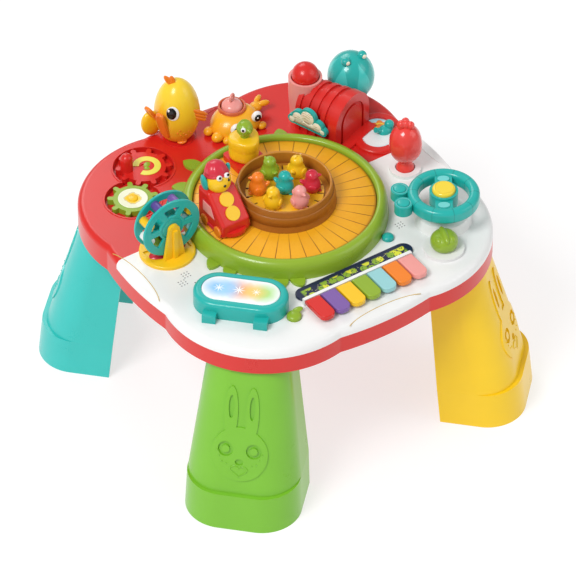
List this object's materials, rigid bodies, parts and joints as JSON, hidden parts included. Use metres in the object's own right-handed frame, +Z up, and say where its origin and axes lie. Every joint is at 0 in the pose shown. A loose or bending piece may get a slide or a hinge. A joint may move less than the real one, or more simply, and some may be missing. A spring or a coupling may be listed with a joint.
{
  "type": "musical activity table",
  "caption": "Toddler activity table with a lobed top on channel legs, turning train track, meshing gears, keys, drum, wheel and push toys.",
  "frame": {"origin": "on the floor under the middle of the table top", "axes": "+X to the right along the keyboard side, +Y to the back, +Z up"},
  "size_m": [0.4464, 0.4464, 0.3154],
  "materials": {
    "brown": "moulded",
    "coral_red": "moulded",
    "leg_green_plastic": "moulded",
    "light_blue": "moulded",
    "lime": "moulded",
    "navy": "moulded",
    "orange": "moulded",
    "pink": "moulded",
    "plank_yellow": "moulded",
    "purple": "moulded",
    "teal": "moulded",
    "white": "moulded",
    "yellow": "moulded"
  },
  "bodies": {
    "base": {"ball_cup": "pink", "battery_door": "coral_red", "bottom_tray": "coral_red", "cloud_sign": "white", "crab_body": "orange", "deck_red": "coral_red", "deck_white": "white", "drum_frame": "teal", "key_ridge": "white", "leg_green": "leg_green_plastic", "leg_red": "coral_red", "leg_teal": "teal", "leg_yellow": "yellow", "nest_bowl": "brown", "pond_duck": "teal", "pond_panel": "white", "rattle_bracket": "yellow", "ring_leaves": "lime", "score_strip": "navy", "track_ring": "lime", "tunnel": "coral_red", "wheel_pedestal": "white"},
    "turntable": {"plank_turntable": "plank_yellow", "loco_body": "coral_red", "loco_lamps": "yellow", "loco_driver": "yellow", "wagon_chassis": "coral_red", "wagon_body": "yellow", "wagon_knob": "lime"},
    "chick_carousel": {"chick_stage": "yellow", "chick_green": "lime", "chick_orange": "orange", "chick_pink": "pink", "chick_red": "coral_red", "chick_teal": "teal", "chicks_yellow": "yellow"},
    "big_gear": {"gear_red": "coral_red"},
    "small_gear": {"gear_green": "lime"},
    "rattle": {"rattle_wheel": "teal", "rattle_face": "teal", "rattle_rollers": "yellow"},
    "drum_skin": {"drum_pad": "white"},
    "leaf_button": {"lime_button": "lime"},
    "round_button": {"teal_button": "teal"},
    "wheel": {"steering_wheel": "teal"},
    "horn": {"horn_button": "yellow"},
    "selector": {"selector_knob": "lime"},
    "stick": {"joystick": "coral_red"},
    "ball_pusher": {"ball_button": "coral_red"},
    "spinner": {"spinner_dome": "teal"},
    "bird": {"bird_body": "yellow", "bird_trim": "orange"},
    "bell": {"crab_hat": "pink"},
    "piano_key_1": {"key_1": "coral_red"},
    "piano_key_2": {"key_2": "purple"},
    "piano_key_3": {"key_3": "yellow"},
    "piano_key_4": {"key_4": "lime"},
    "piano_key_5": {"key_5": "light_blue"},
    "piano_key_6": {"key_6": "orange"},
    "piano_key_7": {"key_7": "pink"}
  },
  "joints": [
    {"name": "turntable_spin", "type": "hinge", "parent": "base", "child": "turntable", "pos_m": [0, 0, 0.222], "axis": [0, 0, 1], "continuous": true},
    {"name": "chick_spin", "type": "hinge", "parent": "base", "child": "chick_carousel", "pos_m": [0, 0, 0.222], "axis": [0, 0, 1], "continuous": true},
    {"name": "gear_spin", "type": "hinge", "parent": "base", "child": "big_gear", "pos_m": [-0.088, 0.149, 0.222], "axis": [0, 0, 1], "continuous": true},
    {"name": "small_gear_spin", "type": "hinge", "parent": "base", "child": "small_gear", "pos_m": [-0.12689, 0.11011, 0.222], "axis": [0, 0, 1], "continuous": true},
    {"name": "rattle_spin", "type": "hinge", "parent": "base", "child": "rattle", "pos_m": [-0.143, 0.016, 0.264], "axis": [0, 1, 0], "continuous": true},
    {"name": "drum_press", "type": "slide", "parent": "base", "child": "drum_skin", "axis": [0, 0, -1], "range_m": [0, 0.002], "stiffness_N_per_m": 800, "springref_m": -0.002},
    {"name": "leaf_press", "type": "slide", "parent": "base", "child": "leaf_button", "axis": [0, 0, -1], "range_m": [0, 0.002], "stiffness_N_per_m": 300, "springref_m": -0.002},
    {"name": "round_press", "type": "slide", "parent": "base", "child": "round_button", "axis": [0, 0, -1], "range_m": [0, 0.002], "stiffness_N_per_m": 300, "springref_m": -0.002},
    {"name": "wheel_turn", "type": "hinge", "parent": "base", "child": "wheel", "pos_m": [0.136, -0.108, 0.222], "axis": [0, 0, 1], "range_deg": [-90, 90]},
    {"name": "horn_press", "type": "slide", "parent": "wheel", "child": "horn", "axis": [0, 0, -1], "range_m": [0, 0.002], "stiffness_N_per_m": 300, "springref_m": -0.002},
    {"name": "selector_turn", "type": "hinge", "parent": "base", "child": "selector", "pos_m": [0.109, -0.148, 0.222], "axis": [0, 0, 1], "range_deg": [-60, 60]},
    {"name": "stick_tilt", "type": "hinge", "parent": "base", "child": "stick", "pos_m": [0.15, -0.015, 0.222], "axis": [1, 0, 0], "range_deg": [-12, 12], "stiffness_Nm_per_rad": 0.6},
    {"name": "ball_press", "type": "slide", "parent": "base", "child": "ball_pusher", "axis": [0, 0, -1], "range_m": [0, 0.004], "stiffness_N_per_m": 400, "springref_m": -0.004},
    {"name": "dome_spin", "type": "hinge", "parent": "base", "child": "spinner", "pos_m": [0.171, 0.122, 0.222], "axis": [0, 0, 1], "continuous": true},
    {"name": "bird_turn", "type": "hinge", "parent": "base", "child": "bird", "pos_m": [-0.026, 0.173, 0.222], "axis": [0, 0, 1], "range_deg": [-30, 30]},
    {"name": "bell_press", "type": "slide", "parent": "base", "child": "bell", "axis": [0, 0, -1], "range_m": [0, 0.003], "stiffness_N_per_m": 300, "springref_m": -0.003},
    {"name": "key_1_press", "type": "hinge", "parent": "base", "child": "piano_key_1", "pos_m": [-0.05945, -0.144, 0.2282], "axis": [1, 0, 0], "range_deg": [0, 3], "stiffness_Nm_per_rad": 0.5, "springref_deg": -4.58},
    {"name": "key_2_press", "type": "hinge", "parent": "base", "child": "piano_key_2", "pos_m": [-0.03935, -0.144, 0.2282], "axis": [1, 0, 0], "range_deg": [0, 3], "stiffness_Nm_per_rad": 0.5, "springref_deg": -4.58},
    {"name": "key_3_press", "type": "hinge", "parent": "base", "child": "piano_key_3", "pos_m": [-0.01925, -0.144, 0.2282], "axis": [1, 0, 0], "range_deg": [0, 3], "stiffness_Nm_per_rad": 0.5, "springref_deg": -4.58},
    {"name": "key_4_press", "type": "hinge", "parent": "base", "child": "piano_key_4", "pos_m": [0.00085, -0.144, 0.2282], "axis": [1, 0, 0], "range_deg": [0, 3], "stiffness_Nm_per_rad": 0.5, "springref_deg": -4.58},
    {"name": "key_5_press", "type": "hinge", "parent": "base", "child": "piano_key_5", "pos_m": [0.02095, -0.144, 0.2282], "axis": [1, 0, 0], "range_deg": [0, 3], "stiffness_Nm_per_rad": 0.5, "springref_deg": -4.58},
    {"name": "key_6_press", "type": "hinge", "parent": "base", "child": "piano_key_6", "pos_m": [0.04105, -0.144, 0.2282], "axis": [1, 0, 0], "range_deg": [0, 3], "stiffness_Nm_per_rad": 0.5, "springref_deg": -4.58},
    {"name": "key_7_press", "type": "hinge", "parent": "base", "child": "piano_key_7", "pos_m": [0.06115, -0.144, 0.2282], "axis": [1, 0, 0], "range_deg": [0, 3], "stiffness_Nm_per_rad": 0.5, "springref_deg": -4.58}
  ],
  "couplings": [
    {"joint": "small_gear_spin", "follows": "gear_spin", "ratio": -1.1111}
  ]
}
